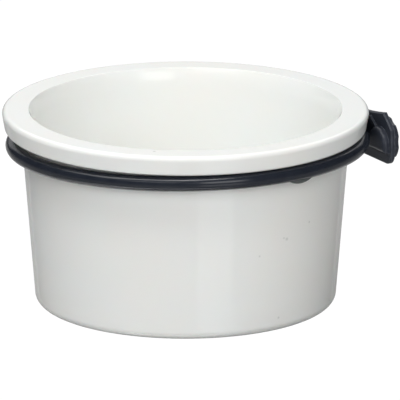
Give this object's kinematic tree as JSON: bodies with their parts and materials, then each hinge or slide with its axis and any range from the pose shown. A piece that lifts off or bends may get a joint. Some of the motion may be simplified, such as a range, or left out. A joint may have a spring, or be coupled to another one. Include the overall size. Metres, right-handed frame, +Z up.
{
  "type": "clamp-on feeding crock",
  "caption": "White open feeding crock with a wide flat rim, hung in a black round-bar ring whose back plate clamps to cage wire with two screws and discs.",
  "frame": {"origin": "centre of the crock's flat base", "axes": "+Z up along the crock's own axis, +X from the crock towards the back plate, +Y along the back plate"},
  "size_m": [0.1352, 0.13, 0.0701],
  "materials": {
    "crock": "glossy white moulding",
    "ring_coat": "smooth satin black coating on steel bar",
    "lug_coat": "satin dark grey coating",
    "black_moulding": "satin black moulding",
    "insert_brass": "plain turned brass",
    "screw_steel": "bright zinc plating"
  },
  "bodies": {
    "holder": {"retaining_ring": "ring_coat", "ring_lugs": "lug_coat", "back_plate": "black_moulding", "front_insert": "insert_brass", "back_insert": "insert_brass"},
    "crock": {"crock_bowl": "crock"},
    "front_disc": {"front_clamp_disc": "black_moulding"},
    "front_screw": {"front_clamp_screw": "screw_steel"},
    "back_disc": {"back_clamp_disc": "black_moulding"},
    "back_screw": {"back_clamp_screw": "screw_steel"}
  },
  "joints": [
    {"name": "crock_lift", "type": "slide", "parent": "holder", "child": "crock", "axis": [0, 0, 1], "range_m": [0, 0.075]},
    {"name": "front_disc_slide", "type": "slide", "parent": "holder", "child": "front_disc", "axis": [1, 0, 0], "range_m": [0, 0.0021]},
    {"name": "front_screw_turn", "type": "hinge", "parent": "front_disc", "child": "front_screw", "pos_m": [0.06826, -0.02544, 0.05711], "axis": [1, 0, 0], "range_deg": [0, 1081]},
    {"name": "back_disc_slide", "type": "slide", "parent": "holder", "child": "back_disc", "axis": [1, 0, 0], "range_m": [0, 0.0021]},
    {"name": "back_screw_turn", "type": "hinge", "parent": "back_disc", "child": "back_screw", "pos_m": [0.06826, 0.02534, 0.05543], "axis": [1, 0, 0], "range_deg": [0, 1081]}
  ],
  "couplings": [
    {"joint": "front_screw_turn", "follows": "front_disc_slide", "rad_per_m": 8976},
    {"joint": "back_screw_turn", "follows": "back_disc_slide", "rad_per_m": 8976}
  ]
}
